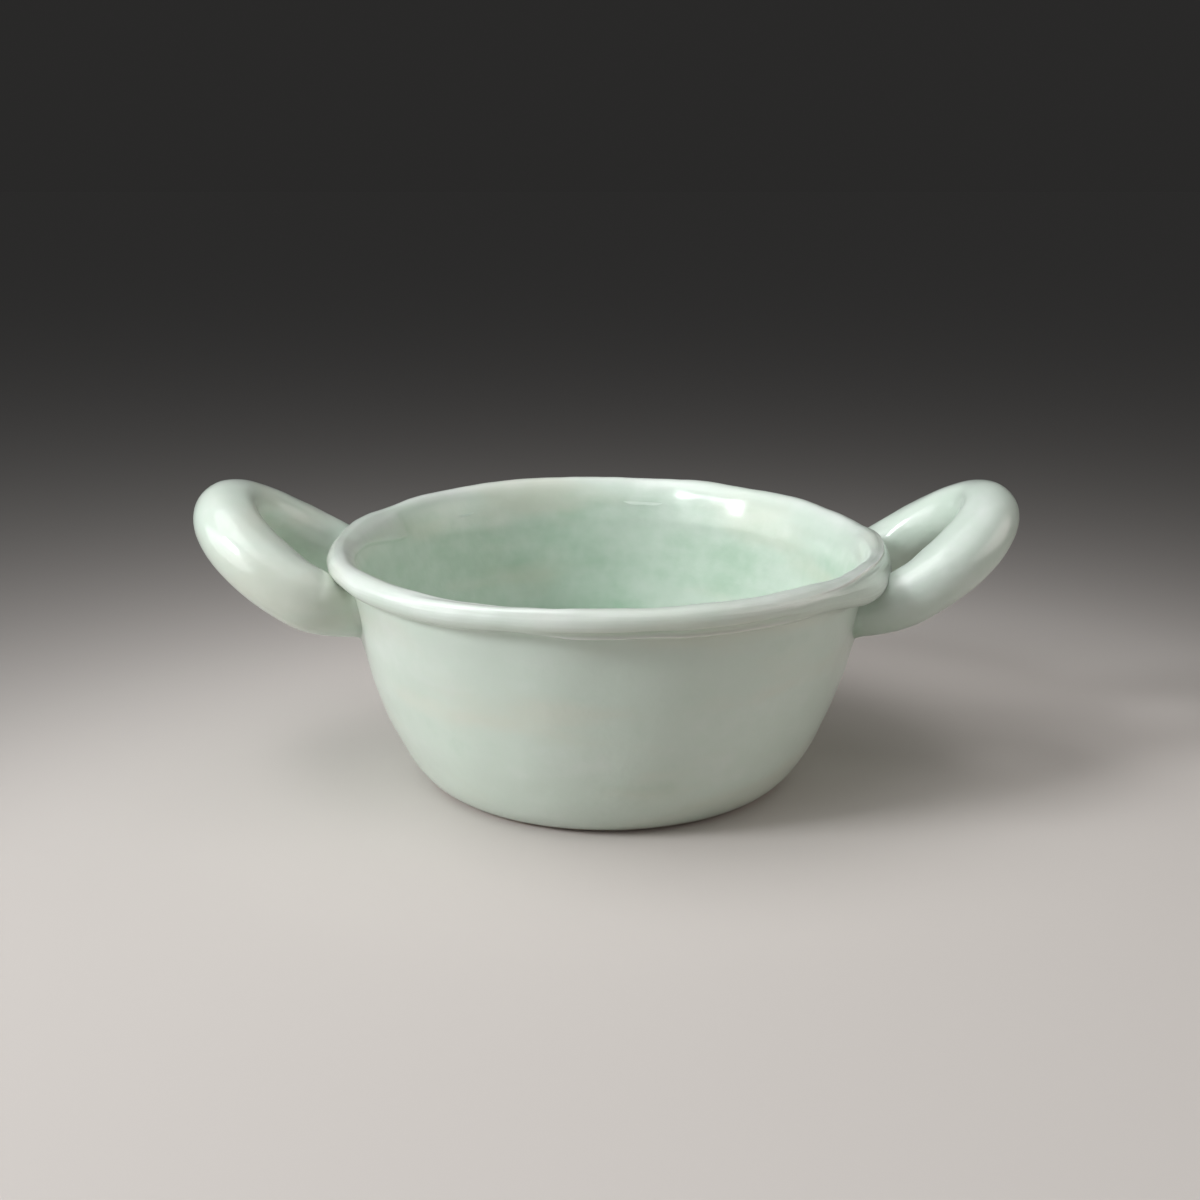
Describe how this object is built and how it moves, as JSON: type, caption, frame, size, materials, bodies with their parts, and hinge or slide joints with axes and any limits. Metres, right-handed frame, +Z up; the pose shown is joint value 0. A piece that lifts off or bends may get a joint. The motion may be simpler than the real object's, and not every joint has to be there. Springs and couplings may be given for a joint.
{
  "type": "handled bowl",
  "caption": "Hand-built glazed ceramic bowl with a rounded wall, a rolled rim and two thick loop handles that rise outwards from just under the rim.",
  "frame": {"origin": "middle of the flat resting face under the floor slab", "axes": "+X from the left handle to the right handle, +Y from the front to the back, +Z up through the mouth of the bowl"},
  "size_m": [0.2939, 0.2, 0.106],
  "materials": {
    "body_glaze": "glossy celadon glaze, greener where it pools",
    "rim_glaze": "glossy celadon glaze, paler where it thins over the roll",
    "handle_glaze": "glossy celadon glaze over a hand-rolled coil"
  },
  "bodies": {
    "root": {"floor_slab": "body_glaze", "bowl_wall": "body_glaze", "rim_roll": "rim_glaze", "left_handle": "handle_glaze", "right_handle": "handle_glaze", "left_front_weld": "handle_glaze", "left_back_weld": "handle_glaze", "right_front_weld": "handle_glaze", "right_back_weld": "handle_glaze"}
  },
  "joints": []
}
